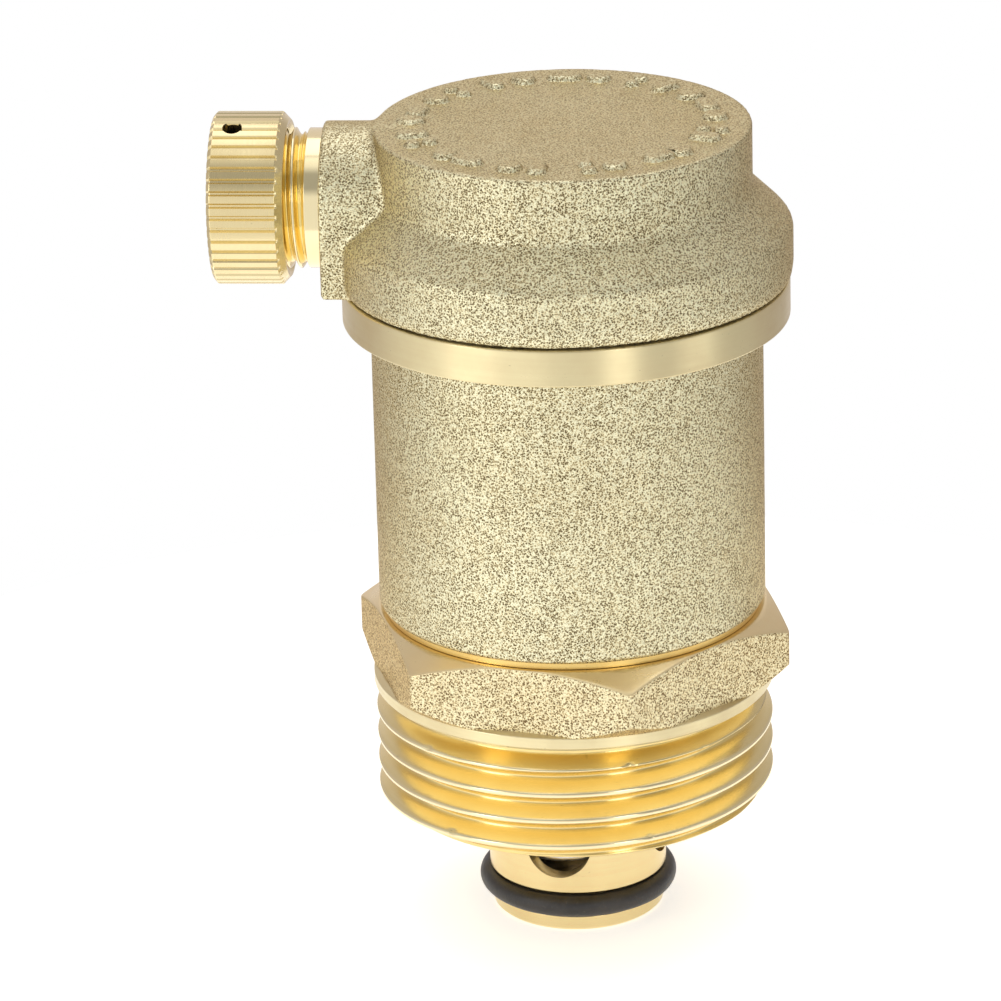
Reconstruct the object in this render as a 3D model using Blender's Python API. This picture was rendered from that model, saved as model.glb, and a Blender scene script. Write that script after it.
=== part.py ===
"""Automatic air vent with a side outlet, on a check-valve base with a G1 male thread.

Metres, +Z up. The origin is the centre of the base's lower end face, on the vertical axis,
and the side outlet points along -X. A turned outline is a list of (radius, height) points.
"""

import math

import bmesh
import bpy
from mathutils import Matrix, Vector

MM = 0.001

# Steps around a turned shape: castings and threads, small turned pieces.
LARGE_STEPS = 44
SMALL_STEPS = 24

# G1 pipe thread and the base around it.
PIPE_THREAD = {"crest_r": 16.62 * MM, "pitch": 2.309 * MM, "crest": 0.40 * MM}
PIPE_ROOT_R = 15.14 * MM
PIPE_CREST_Z = 1.55 * MM
THREAD_TOP_Z = 10.3 * MM
END_CHAMFER_R = 15.0 * MM
COLLAR_R = 16.75 * MM
HEX_CORNER_R = 18.66 * MM
HEX_FLAT_R = HEX_CORNER_R * math.cos(math.pi / 6)
HEX_TURN = math.radians(18.05)
HEX_BOTTOM_Z = 10.75 * MM
HEX_TOP_Z = 16.95 * MM
HEX_CORNER_Z = (12.75 * MM, 15.45 * MM)
SOCKET_R = 10.62 * MM
LEDGE_Z = 8.1 * MM
GASKET_SEAT_Z = 9.6 * MM

# Check-valve spool, drawn at its lower stop.
SPOOL_R = 7.47 * MM
GUIDE_GAP = 0.10 * MM
SPOOL_BOTTOM_Z = -10.35 * MM
SPOOL_FLANGE_R = 8.9 * MM
WINDOW_R = 2.8 * MM
WINDOW_Z = -2.6 * MM
WINDOW_TURN = math.radians(-9.5)
SEAL_RING_Z = -7.92 * MM
SEAL_RING_R = 7.36 * MM
SEAL_WIRE_R = 0.98 * MM
SPRING_R = 5.3 * MM
SPRING_WIRE_R = 0.4 * MM
SPRING_TURNS = 11
SPRING_Z = (-7.5 * MM, 18.5 * MM)

# Float chamber.
BODY_R = 16.1 * MM
BODY_BOTTOM_Z = 17.5 * MM
BODY_TOP_Z = 42.2 * MM
BAND_R = 18.35 * MM
BAND_TOP_Z = 45.25 * MM
MOUTH_R = 14.98 * MM
MOUTH_BOTTOM_Z = 39.9 * MM
SEAL_POCKET_R = 16.7 * MM
SEAL_POCKET_Z = 43.85 * MM
CHAMBER_R = 13.9 * MM
CHAMBER_FLOOR_Z = 20.3 * MM
TAIL_R = 10.45 * MM
TAIL_BORE_R = 9.25 * MM
TAIL_BOTTOM_Z = 10.3 * MM
FLOOR_UNDERSIDE_Z = 18.6 * MM
FLOOR_HOLE_R = 4.5 * MM

# Bonnet with its outlet boss.
BONNET_TOP_Z = 58.4 * MM
BONNET_R = 15.35 * MM
RIM_R = 18.62 * MM
RIM_BOTTOM_Z = 45.35 * MM
SKIRT_R = 14.85 * MM
SKIRT_BOTTOM_Z = 40.2 * MM
CAVITY_R = 12.8 * MM
CEILING_Z = 56.0 * MM
BOSS_R = 6.28 * MM
BOSS_FACE = 19.5 * MM
CEILING_BOSS_R = 2.2 * MM
CEILING_BOSS_Z = 54.6 * MM
SCREW_X = (3.0 * MM, 6.6 * MM)

# Side outlet: distances along -X from the vertical axis, at height OUTLET_Z.
OUTLET_Z = 52.05 * MM
OUTLET_THREAD = {"crest_r": 5.75 * MM, "pitch": 1.0 * MM, "crest": 0.18 * MM}
OUTLET_ROOT_R = 5.17 * MM
CAP_THREAD = {"crest_r": 5.29 * MM, "pitch": 1.0 * MM, "crest": 0.14 * MM}
CAP_ROOT_R = 5.87 * MM
OUTLET_CREST = 21.6 * MM
OUTLET_END = 25.0 * MM
OUTLET_BORE_R = 3.1 * MM
CAP_BACK = 22.35 * MM
CAP_END = 28.5 * MM
CAP_R = 7.05 * MM
CAP_VALLEY_R = 6.80 * MM
CAP_RIDGES = 44
CAP_FLOOR = 27.5 * MM
CAP_HOLE_R = 0.8 * MM
CAP_HOLE = 26.65 * MM
CAP_HOLE_TURN = math.radians(18.7)

# Float and lever. The lever is drawn shut, then opened by LEVER_OPEN about its pivot.
PIVOT = Vector((-7.0 * MM, 0, 50.05 * MM))
LEVER_OPEN = math.radians(17.0)
FLOAT_R = 12.1 * MM
FLOAT_Z = (20.4 * MM, 43.0 * MM)
STEM_EYE_Z = PIVOT.z + PIVOT.x * math.tan(LEVER_OPEN / 2)


def clear_scene():
    for obj in list(bpy.data.objects):
        bpy.data.objects.remove(obj, do_unlink=True)


def make_material(name, colour, metallic, roughness):
    material = bpy.data.materials.new(name)
    material.use_nodes = True
    shader = material.node_tree.nodes["Principled BSDF"]
    shader.inputs["Base Color"].default_value = (*colour, 1.0)
    shader.inputs["Metallic"].default_value = metallic
    shader.inputs["Roughness"].default_value = roughness
    return material


def make_object(name, bm, location=(0, 0, 0), rotation=(0, 0, 0)):
    """An object from a bmesh, with its normals outward and its round faces smooth."""
    bmesh.ops.recalc_face_normals(bm, faces=bm.faces)
    mesh = bpy.data.meshes.new(name)
    bm.to_mesh(mesh)
    bm.free()
    mesh.shade_smooth()
    mesh.set_sharp_from_angle(angle=math.radians(35))
    obj = bpy.data.objects.new(name, mesh)
    obj.location = location
    obj.rotation_euler = rotation
    bpy.context.scene.collection.objects.link(obj)
    return obj


def finish(obj, name, colour, metallic, roughness):
    obj.data.materials.append(make_material(name, colour, metallic, roughness))
    return obj


def combine(obj, other, operation):
    """Adds or removes the other shape by an exact Boolean, and hides it from the render."""
    modifier = obj.modifiers.new(other.name, "BOOLEAN")
    modifier.operation = operation
    modifier.solver = "EXACT"
    modifier.object = other
    other.hide_render = True
    other.display_type = "WIRE"


def arc(centre, radius, start, end, count):
    """Points (radius, height) on an arc, angles in degrees."""
    turns = [math.radians(start + (end - start) * i / count) for i in range(count + 1)]
    return [(centre[0] + radius * math.cos(t), centre[1] + radius * math.sin(t)) for t in turns]


def in_mm(points):
    return [(r * MM, z * MM) for r, z in points]


def turned(outline, steps, thread=None):
    """A bmesh of an outline turned about Z, from +Y round by -X. One off the axis makes a ring.

    A thread is (index, sizes, crest_z): it runs between the circles outline[index] and
    outline[index + 1], which have its base radius, and a crest crosses the -Y side at crest_z.
    """
    bm = bmesh.new()
    rings = []
    for radius, height in outline:
        if radius == 0:
            rings.append([bm.verts.new((0, 0, height))] * steps)
        else:
            rings.append([bm.verts.new(around(radius, height, i / steps)) for i in range(steps)])
    solid = outline[0][0] == 0 and outline[-1][0] == 0
    for k in range(len(rings) - 1 if solid else len(rings)):
        low, high = rings[k], rings[(k + 1) % len(rings)]
        if thread and thread[0] == k:
            add_thread(bm, *sorted((low, high), key=lambda ring: ring[0].co.z), *thread[1:])
            continue
        for i in range(steps):
            j = (i + 1) % steps
            bm.faces.new(list(dict.fromkeys((low[i], low[j], high[j], high[i]))))
    return bm


def around(radius, height, share):
    turn = 2 * math.pi * share
    return Vector((-radius * math.sin(turn), radius * math.cos(turn), height))


def add_thread(bm, low, high, thread, crest_z):
    """A right-hand ridge between two circles, which fades out over a fifth of a turn at each end."""
    steps, base = len(low), low[0].co.xy.length
    pitch, depth = thread["pitch"], thread["crest_r"] - base
    flank = abs(depth) * math.tan(math.radians(27.5))
    root = pitch - thread["crest"] - 2 * flank
    offsets = [0, root, root + flank, root + flank + thread["crest"]]
    start = crest_z - pitch / 2 - (offsets[2] + offsets[3]) / 2
    start += math.ceil((low[0].co.z + 0.02 * MM - start) / pitch) * pitch
    turns = math.floor((high[0].co.z - 0.02 * MM - start) / pitch) - 1

    def point(k, i):
        done = k // 4 + i / steps
        fade = min(1, 0.2 + 4 * done, 0.2 + 4 * (turns - done))
        radius = base + (depth * fade if k % 4 > 1 else 0)
        height = start + done * pitch + offsets[k % 4]
        return bm.verts.new(around(radius, height, i / steps))

    last = 4 * turns
    rows = [[point(k, i) for i in range(steps)] for k in range(last + 1)]
    for k, row in enumerate(rows):
        row.append(rows[k + 4][0] if k + 4 <= last else point(k, steps))
    low, high = low + low[:1], high + high[:1]
    strips = [(rows[k], rows[k + 1], 0, steps) for k in range(last)]
    strips += [(low, rows[0], 0, steps - 1), (rows[last], high, 1, steps)]
    for under, over, begin, end in strips:
        for i in range(begin, end):
            bm.faces.new((under[i], under[i + 1], over[i + 1], over[i]))
    first = [row[0] for row in rows[:5]]
    final = [row[steps] for row in rows[last - 4:]]
    bm.faces.new(first[1:])
    bm.faces.new(final[1:])
    add_fan(bm, rows[0][steps - 1], [low[steps - 1], low[steps], first[0], first[1], first[4]])
    add_fan(bm, rows[last][1], [high[1], high[0], final[4], final[1], final[0]])
    bmesh.ops.triangulate(bm, faces=bm.faces)


def add_fan(bm, apex, chain):
    for one, two in zip(chain, chain[1:]):
        bm.faces.new((apex, one, two))


def torus(ring_r, tube_r, height, steps, sides):
    return turned(arc((ring_r, height), tube_r, 0, 360, sides)[:-1], steps)


def coil(ring_r, wire_r, bottom, top, turns, steps, sides):
    """A compression spring about Z whose first and last turns lie flat."""
    bm = bmesh.new()
    count = turns * steps
    first, last = bottom + wire_r, top - wire_r
    closed = 2.1 * wire_r
    rings = []
    for i in range(count + 1):
        turn = i / steps
        inner = min(max((turn - 1) / (turns - 2), 0), 1)
        height = first + closed * (min(turn, 1) + max(turn - turns + 1, 0))
        height += (last - first - 2 * closed) * inner
        angle = 2 * math.pi * turn
        out = Vector((math.cos(angle), math.sin(angle), 0))
        centre = out * ring_r + Vector((0, 0, height))
        sweep = [2 * math.pi * s / sides for s in range(sides)]
        rings.append([bm.verts.new(centre + wire_r * (math.cos(a) * out + Vector((0, 0, math.sin(a)))))
                      for a in sweep])
    for low, high in zip(rings, rings[1:]):
        for s in range(sides):
            n = (s + 1) % sides
            bm.faces.new((low[s], low[n], high[n], high[s]))
    bm.faces.new(rings[0])
    bm.faces.new(rings[-1])
    return bm


def prism(outline, depth, axis):
    """A closed outline of (u, v) points extruded by depth, centred, along X, Y or Z."""
    bm = bmesh.new()
    place = {
        "X": lambda u, v, w: (w, u, v),
        "Y": lambda u, v, w: (u, w, v),
        "Z": lambda u, v, w: (u, v, w),
    }[axis]
    ends = [[bm.verts.new(place(u, v, w)) for u, v in outline] for w in (-depth / 2, depth / 2)]
    bm.faces.new(ends[0])
    bm.faces.new(ends[1])
    for i in range(len(outline)):
        j = (i + 1) % len(outline)
        bm.faces.new((ends[0][i], ends[0][j], ends[1][j], ends[1][i]))
    return bm


def box(low, high):
    bm = bmesh.new()
    size = Vector(high) - Vector(low)
    centre = (Vector(high) + Vector(low)) / 2
    bmesh.ops.create_cube(bm, size=1, matrix=Matrix.Translation(centre) @ Matrix.Diagonal((*size, 1)))
    return bm


def cylinder(radius, start, end, steps=SMALL_STEPS):
    """A plain cylinder between two points."""
    start, end = Vector(start), Vector(end)
    bm = bmesh.new()
    turn = (end - start).to_track_quat("Z", "Y").to_matrix().to_4x4()
    bmesh.ops.create_cone(
        bm, cap_ends=True, segments=steps, radius1=radius, radius2=radius, depth=(end - start).length,
        matrix=Matrix.Translation((start + end) / 2) @ turn,
    )
    return bm


def along_outlet(bm):
    """Turns a shape drawn along +Z so that it lies along the outlet axis, towards -X."""
    for vert in bm.verts:
        x, y, z = vert.co
        vert.co = (-z, y, x + OUTLET_Z)
    return bm


# ---------------------------------------------------------------- check-valve base


def make_base():
    below = -4 * MM
    outline = [(0, below), (PIPE_ROOT_R, below), (PIPE_ROOT_R, THREAD_TOP_Z)]
    outline += [(16.5 * MM, THREAD_TOP_Z), (COLLAR_R, THREAD_TOP_Z + 0.2 * MM)]
    outline += [(COLLAR_R, HEX_BOTTOM_Z + 0.6 * MM), (0, HEX_BOTTOM_Z + 0.6 * MM)]
    base = make_object("base", turned(outline, LARGE_STEPS, (1, PIPE_THREAD, PIPE_CREST_Z)))
    trim = [(0, 2 * below), (20 * MM, 2 * below), (20 * MM, 3.1 * MM), (END_CHAMFER_R, 0), (0, 0)]
    combine(base, make_object("base_end_trim", turned(trim, LARGE_STEPS)), "DIFFERENCE")
    corners = [HEX_TURN + math.radians(60 * i) for i in range(6)]
    outline = [(HEX_CORNER_R * math.sin(c), -HEX_CORNER_R * math.cos(c)) for c in corners]
    hexagon = make_object("base_hexagon", prism(outline, 20 * MM, "Z"), location=(0, 0, 14 * MM))
    chamfers = [(0, HEX_BOTTOM_Z - 0.2 * MM), (HEX_FLAT_R - 0.15 * MM, HEX_BOTTOM_Z - 0.2 * MM)]
    chamfers += [(HEX_CORNER_R + 0.1 * MM, HEX_CORNER_Z[0]), (HEX_CORNER_R + 0.1 * MM, HEX_CORNER_Z[1])]
    chamfers += [(HEX_FLAT_R, HEX_TOP_Z), (0, HEX_TOP_Z)]
    combine(hexagon, make_object("base_chamfers", turned(chamfers, LARGE_STEPS)), "INTERSECT")
    combine(base, hexagon, "UNION")
    guide = SPOOL_R + GUIDE_GAP
    bore = [(0, -0.5 * MM), (9.77 * MM, -0.5 * MM), (guide, 1.4 * MM), (guide, LEDGE_Z)]
    bore += [(TAIL_BORE_R, LEDGE_Z), (TAIL_BORE_R, GASKET_SEAT_Z), (SOCKET_R, GASKET_SEAT_Z)]
    bore += [(SOCKET_R, 18 * MM), (0, 18 * MM)]
    combine(base, make_object("base_bore", turned(bore, LARGE_STEPS)), "DIFFERENCE")
    return finish(base, "base_brass", (0.80, 0.62, 0.33), 1.0, 0.3)


def make_tail_gasket():
    outline = in_mm([(9.4, 9.65), (10.5, 9.65), (10.5, 10.25), (9.4, 10.25)])
    gasket = make_object("tail_gasket", turned(outline, LARGE_STEPS))
    return finish(gasket, "fibre", (0.25, 0.10, 0.08), 0.0, 0.8)


def make_spool():
    bottom, flange = SPOOL_BOTTOM_Z, LEDGE_Z + 0.05 * MM
    top = flange + 1.2 * MM
    outline = [(0, bottom), (6.9 * MM, bottom), (7.2 * MM, bottom + 0.3 * MM)]
    outline += in_mm([(7.2, -9.05), (6.35, -9.05), (6.35, -6.8)])
    outline += [(SPOOL_R, -6.8 * MM), (SPOOL_R, flange), (SPOOL_FLANGE_R, flange)]
    outline += [(SPOOL_FLANGE_R, top), (6.0 * MM, top), (6.0 * MM, -7.6 * MM), (0, -7.6 * MM)]
    spool = make_object("spool", turned(outline, LARGE_STEPS))
    for i in range(2):
        turn = WINDOW_TURN + math.radians(90 * i)
        reach = Vector((math.sin(turn), -math.cos(turn), 0)) * 12 * MM
        centre = Vector((0, 0, WINDOW_Z))
        window = cylinder(WINDOW_R, centre - reach, centre + reach, 20)
        combine(spool, make_object(f"spool_window_{i + 1}", window), "DIFFERENCE")
    return finish(spool, "spool_brass", (0.82, 0.66, 0.40), 1.0, 0.25)


def make_spool_o_ring():
    bm = torus(SEAL_RING_R, SEAL_WIRE_R, SEAL_RING_Z, LARGE_STEPS, 8)
    return finish(make_object("spool_o_ring", bm), "black_rubber", (0.03, 0.03, 0.035), 0.0, 0.55)


def make_spool_spring():
    bm = coil(SPRING_R, SPRING_WIRE_R, *SPRING_Z, SPRING_TURNS, 12, 5)
    return finish(make_object("spool_spring", bm), "spring_steel", (0.62, 0.62, 0.62), 1.0, 0.25)


# ---------------------------------------------------------------- float chamber


def make_body():
    neck_z = HEX_TOP_Z + 0.1 * MM
    outline = [(TAIL_BORE_R, TAIL_BOTTOM_Z), (TAIL_R - 0.3 * MM, TAIL_BOTTOM_Z)]
    outline += [(TAIL_R, TAIL_BOTTOM_Z + 0.3 * MM), (TAIL_R, neck_z)]
    outline += [(15.2 * MM, neck_z), (15.2 * MM, BODY_BOTTOM_Z)]
    outline += arc((BODY_R - 0.6 * MM, BODY_BOTTOM_Z + 0.6 * MM), 0.6 * MM, -90, 0, 3)
    outline += [(BODY_R, BODY_TOP_Z), (BAND_R - 0.1 * MM, BODY_TOP_Z), (BAND_R, BODY_TOP_Z + 0.1 * MM)]
    outline += [(BAND_R, BAND_TOP_Z - 0.1 * MM), (BAND_R - 0.1 * MM, BAND_TOP_Z)]
    outline += [(SEAL_POCKET_R, BAND_TOP_Z), (SEAL_POCKET_R, SEAL_POCKET_Z)]
    outline += [(MOUTH_R, SEAL_POCKET_Z), (MOUTH_R, MOUTH_BOTTOM_Z)]
    outline += [(CHAMBER_R, MOUTH_BOTTOM_Z), (CHAMBER_R, CHAMBER_FLOOR_Z)]
    outline += [(FLOOR_HOLE_R, CHAMBER_FLOOR_Z), (FLOOR_HOLE_R, FLOOR_UNDERSIDE_Z)]
    outline += [(TAIL_BORE_R, FLOOR_UNDERSIDE_Z)]
    body = make_object("body", turned(outline, LARGE_STEPS))
    return finish(body, "body_brass", (0.78, 0.66, 0.47), 1.0, 0.45)


# ---------------------------------------------------------------- bonnet and outlet


def make_bonnet():
    outline = [(0, SKIRT_BOTTOM_Z), (SKIRT_R - 0.3 * MM, SKIRT_BOTTOM_Z)]
    outline += [(SKIRT_R, SKIRT_BOTTOM_Z + 0.3 * MM), (SKIRT_R, RIM_BOTTOM_Z)]
    outline += [(18.3 * MM, RIM_BOTTOM_Z), (18.52 * MM, 45.9 * MM)]
    outline += [(RIM_R, 46.6 * MM), (RIM_R, 49.5 * MM)]
    outline += in_mm([(18.5, 49.95), (18.15, 50.4), (16.1, 52.4), (15.6, 52.95)])
    outline += [(BONNET_R, 53.5 * MM), (BONNET_R, BONNET_TOP_Z - 0.6 * MM)]
    outline += arc((BONNET_R - 0.6 * MM, BONNET_TOP_Z - 0.6 * MM), 0.6 * MM, 30, 90, 2)
    outline += [(0, BONNET_TOP_Z)]
    bonnet = make_object("bonnet", turned(outline, LARGE_STEPS))
    arch = [(-BOSS_R * math.cos(math.radians(t)), OUTLET_Z + BOSS_R * math.sin(math.radians(t)))
            for t in range(0, 181, 15)]
    arch += [(BOSS_R, RIM_BOTTOM_Z), (-BOSS_R, RIM_BOTTOM_Z)]
    depth = BOSS_FACE - 11.5 * MM
    boss = make_object("bonnet_boss", prism(arch, depth, "X"), location=(-BOSS_FACE + depth / 2, 0, 0))
    combine(bonnet, boss, "UNION")
    combine(bonnet, make_outlet_spigot(), "UNION")
    cavity = [(0, 39 * MM), (CAVITY_R, 39 * MM), (CAVITY_R, CEILING_Z), (0, CEILING_Z)]
    cutter = make_object("bonnet_cavity", turned(cavity, LARGE_STEPS))
    for i, x in enumerate(SCREW_X):
        post = cylinder(CEILING_BOSS_R, (x, 0, CEILING_BOSS_Z), (x, 0, 60 * MM))
        combine(cutter, make_object(f"bonnet_post_{i + 1}", post), "DIFFERENCE")
    for i, x in enumerate(SCREW_X):
        hole = cylinder(1.08 * MM, (x, 0, 53 * MM), (x, 0, 57.3 * MM), 16)
        combine(cutter, make_object(f"bonnet_screw_hole_{i + 1}", hole), "UNION")
    combine(bonnet, cutter, "DIFFERENCE")
    spot_r, spot_depth = 3.85 * MM, 13.05 * MM
    passage = [(0, 9 * MM), (spot_r, 9 * MM), (spot_r, spot_depth), (OUTLET_BORE_R, spot_depth)]
    passage += [(OUTLET_BORE_R, 27 * MM), (0, 27 * MM)]
    passage = make_object("outlet_passage", along_outlet(turned(passage, SMALL_STEPS)))
    combine(bonnet, passage, "DIFFERENCE")
    return finish(bonnet, "bonnet_brass", (0.76, 0.65, 0.48), 1.0, 0.5)


def make_outlet_spigot():
    """The threaded spout that the cap screws onto, cast and turned in one piece with the bonnet."""
    outline = in_mm([(0, 15), (5.72, 15), (5.72, 20.0)]) + [(OUTLET_ROOT_R, 20.3 * MM)]
    outline += [(OUTLET_ROOT_R, OUTLET_END - 0.3 * MM), (OUTLET_ROOT_R - 0.3 * MM, OUTLET_END)]
    outline += [(0, OUTLET_END)]
    spigot = turned(outline, SMALL_STEPS, (3, OUTLET_THREAD, OUTLET_CREST))
    return make_object("outlet_spigot", along_outlet(spigot))


def make_bonnet_o_ring():
    bm = torus(15.84 * MM, 0.68 * MM, 44.6 * MM, LARGE_STEPS, 6)
    return finish(make_object("bonnet_o_ring", bm), "bonnet_rubber", (0.03, 0.03, 0.035), 0.0, 0.6)


def make_vent_nozzle():
    """The insert with the fine orifice. Its conical tip is what the seat pad shuts."""
    outline = in_mm([(0.5, 8.2), (1.2, 8.2), (2.0, 9.4), (2.0, 10.7), (3.3, 10.7), (3.3, 12.2)])
    outline += in_mm([(2.98, 12.2), (2.98, 17.0), (1.3, 17.0), (1.3, 10.2), (0.5, 9.6)])
    nozzle = make_object("vent_nozzle", along_outlet(turned(outline, SMALL_STEPS)))
    return finish(nozzle, "nozzle_brass", (0.83, 0.66, 0.35), 1.0, 0.25)


def make_nozzle_washer():
    outline = in_mm([(3.06, 12.3), (3.7, 12.3), (3.7, 12.9), (3.06, 12.9)])
    washer = make_object("nozzle_washer", along_outlet(turned(outline, SMALL_STEPS)))
    return finish(washer, "copper", (0.72, 0.38, 0.25), 1.0, 0.4)


def make_vent_cap():
    cap = make_object("vent_cap", along_outlet(knurled_blank()))
    bore = in_mm([(0, 21), (6.0, 21), (6.0, 22.5)]) + [(CAP_ROOT_R, 22.6 * MM), (CAP_ROOT_R, 25.7 * MM)]
    bore += [(5.95 * MM, 25.8 * MM), (5.95 * MM, CAP_FLOOR), (0, CAP_FLOOR)]
    tap = turned(bore, SMALL_STEPS, (3, CAP_THREAD, OUTLET_CREST + 0.5 * MM))
    combine(cap, make_object("cap_bore", along_outlet(tap)), "DIFFERENCE")
    centre = Vector((-CAP_HOLE, 0, OUTLET_Z))
    outward = Vector((0, -math.sin(CAP_HOLE_TURN), math.cos(CAP_HOLE_TURN)))
    hole = cylinder(CAP_HOLE_R, centre + outward * 4.5 * MM, centre + outward * 9 * MM, 12)
    combine(cap, make_object("cap_hole", hole), "DIFFERENCE")
    return finish(cap, "cap_brass", (0.78, 0.62, 0.38), 1.0, 0.35)


def knurled_blank():
    """The cap before it is bored: a ring of straight ridges between two plain chamfers."""
    steps = 2 * CAP_RIDGES
    outline = [(0, CAP_BACK), (6.35 * MM, CAP_BACK), (CAP_VALLEY_R - 0.05 * MM, 22.75 * MM)]
    outline += [(CAP_R, 22.95 * MM), (CAP_R, 28.2 * MM), (CAP_VALLEY_R - 0.1 * MM, CAP_END), (0, CAP_END)]
    bm = turned(outline, steps)
    cut = CAP_VALLEY_R / CAP_R
    for vert in bm.verts:
        radius = math.hypot(vert.co.x, vert.co.y)
        place = round(math.atan2(vert.co.x, -vert.co.y) / (2 * math.pi) * steps)
        if radius > CAP_R - 0.01 * MM and place % 2:
            vert.co.x *= cut
            vert.co.y *= cut
    return bm


def make_cap_seal_pad():
    disc = along_outlet(cylinder(3.7 * MM, (0, 0, 26.35 * MM), (0, 0, 27.45 * MM)))
    return finish(make_object("cap_seal_pad", disc), "pad_rubber", (0.04, 0.04, 0.04), 0.0, 0.6)


# ---------------------------------------------------------------- float and lever


def make_float():
    """An upturned cup that traps air, with notches in its skirt."""
    bottom, top = FLOAT_Z
    outline = [(0, top - 2.4 * MM), (10.8 * MM, top - 2.4 * MM), (10.8 * MM, bottom), (FLOAT_R, bottom)]
    outline += arc((FLOAT_R - 1.2 * MM, top - 1.2 * MM), 1.2 * MM, 0, 90, 3)
    outline += [(3.0 * MM, top), (2.6 * MM, top + 2.2 * MM), (0, top + 2.2 * MM)]
    cup = make_object("float", turned(outline, LARGE_STEPS))
    socket = cylinder(1.06 * MM, (0, 0, top - 1.0 * MM), (0, 0, top + 4 * MM), 16)
    combine(cup, make_object("float_socket", socket), "DIFFERENCE")
    for i in range(2):
        reach = 14 * MM
        low = (-reach, -1.5 * MM, bottom - 1 * MM) if i else (-1.5 * MM, -reach, bottom - 1 * MM)
        high = (reach, 1.5 * MM, bottom + 1.6 * MM) if i else (1.5 * MM, reach, bottom + 1.6 * MM)
        combine(cup, make_object(f"float_notch_{i + 1}", box(low, high)), "DIFFERENCE")
    return finish(cup, "float_plastic", (0.85, 0.84, 0.78), 0.0, 0.45)


def make_float_stem():
    """The stem on the float's top, with the eye that the lever's arm passes through."""
    foot = FLOAT_Z[1] - 0.9 * MM
    rod = cylinder(1.0 * MM, (0, 0, foot), (0, 0, STEM_EYE_Z - 1.2 * MM), 16)
    stem = make_object("float_stem", rod)
    eye = torus(1.4 * MM, 0.42 * MM, 0, 20, 8)
    bmesh.ops.rotate(eye, verts=eye.verts, matrix=Matrix.Rotation(math.pi / 2, 3, "Y"))
    combine(stem, make_object("float_stem_eye", eye, location=(0, 0, STEM_EYE_Z)), "UNION")
    return finish(stem, "stem_steel", (0.65, 0.65, 0.66), 1.0, 0.3)


def make_lever():
    """A bell crank: a short arm carries the seat pad, a long one reaches into the float's eye."""
    hub = cylinder(1.0 * MM, (0, -2.8 * MM, 0), (0, 2.8 * MM, 0))
    lever = make_object("lever", hub, location=PIVOT, rotation=(0, LEVER_OPEN, 0))
    along = Vector((1, 0, math.tan(LEVER_OPEN / 2))) * MM
    pad_z = 2.0 * MM
    shapes = {
        "arm": (0.55 * MM, (0, 0, 0), 8.4 * along, 12, "UNION"),
        "arm_knob": (0.85 * MM, 8.3 * along, 9.3 * along, 12, "UNION"),
        "cup": (2.0 * MM, (-0.8 * MM, 0, pad_z), (0.6 * MM, 0, pad_z), 24, "UNION"),
        "cup_recess": (1.62 * MM, (-1.5 * MM, 0, pad_z), (-0.1 * MM, 0, pad_z), 24, "DIFFERENCE"),
        "pin_hole": (0.5 * MM, (0, -4 * MM, 0), (0, 4 * MM, 0), 16, "DIFFERENCE"),
    }
    for name, (radius, start, end, steps, operation) in shapes.items():
        part = make_object(f"lever_{name}", cylinder(radius, start, end, steps))
        part.parent = lever
        combine(lever, part, operation)
    return finish(lever, "lever_steel", (0.60, 0.60, 0.61), 1.0, 0.35)


def make_seat_pad(lever):
    disc = cylinder(1.55 * MM, (-1.14 * MM, 0, 2.0 * MM), (-0.16 * MM, 0, 2.0 * MM))
    pad = make_object("seat_pad", disc)
    pad.parent = lever
    return finish(pad, "seat_rubber", (0.05, 0.05, 0.05), 0.0, 0.6)


def make_lever_pivot_pin():
    pin = cylinder(0.45 * MM, (PIVOT.x, -4.5 * MM, PIVOT.z), (PIVOT.x, 4.5 * MM, PIVOT.z), 16)
    return finish(make_object("lever_pivot_pin", pin), "pin_steel", (0.55, 0.55, 0.56), 1.0, 0.25)


def make_lever_bracket():
    """A bent strip: a web under the bonnet's ceiling bosses and two arms down to the pivot pin."""
    arm = in_mm([(-8.6, 54.55), (8.6, 54.55), (8.6, 52.8), (-4.4, 52.8), (-5.2, 52.0)])
    arm += in_mm([(-5.2, 48.9), (-8.6, 48.9)])
    bracket = make_object("lever_bracket", prism(arm, 8.0 * MM, "Y"))
    gap = box((-20 * MM, -3.2 * MM, 40 * MM), (1.3 * MM, 3.2 * MM, 60 * MM))
    combine(bracket, make_object("bracket_gap", gap), "DIFFERENCE")
    under = box((0.0, -3.2 * MM, 40 * MM), (20 * MM, 3.2 * MM, 53.75 * MM))
    combine(bracket, make_object("bracket_underside", under), "DIFFERENCE")
    bore = cylinder(0.5 * MM, (PIVOT.x, -6 * MM, PIVOT.z), (PIVOT.x, 6 * MM, PIVOT.z), 16)
    combine(bracket, make_object("bracket_pin_hole", bore), "DIFFERENCE")
    for i, x in enumerate(SCREW_X):
        hole = cylinder(1.15 * MM, (x, 0, 50 * MM), (x, 0, 58 * MM), 16)
        combine(bracket, make_object(f"bracket_screw_hole_{i + 1}", hole), "DIFFERENCE")
    return finish(bracket, "bracket_steel", (0.66, 0.66, 0.67), 1.0, 0.3)


def make_bracket_screw(number, x):
    outline = in_mm([(0, 52.6), (1.3, 52.6), (1.6, 52.9), (1.6, 53.7), (0.98, 53.7)])
    outline += in_mm([(0.98, 57.1), (0, 57.1)])
    screw = make_object(f"bracket_screw_{number}", turned(outline, 16), location=(x, 0, 0))
    slot = box((-3 * MM, -0.25 * MM, 52 * MM), (3 * MM, 0.25 * MM, 53.0 * MM))
    slot = make_object(f"screw_slot_{number}", slot, location=(x, 0, 0))
    combine(screw, slot, "DIFFERENCE")
    return finish(screw, f"screw_steel_{number}", (0.6, 0.6, 0.6), 1.0, 0.3)


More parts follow.
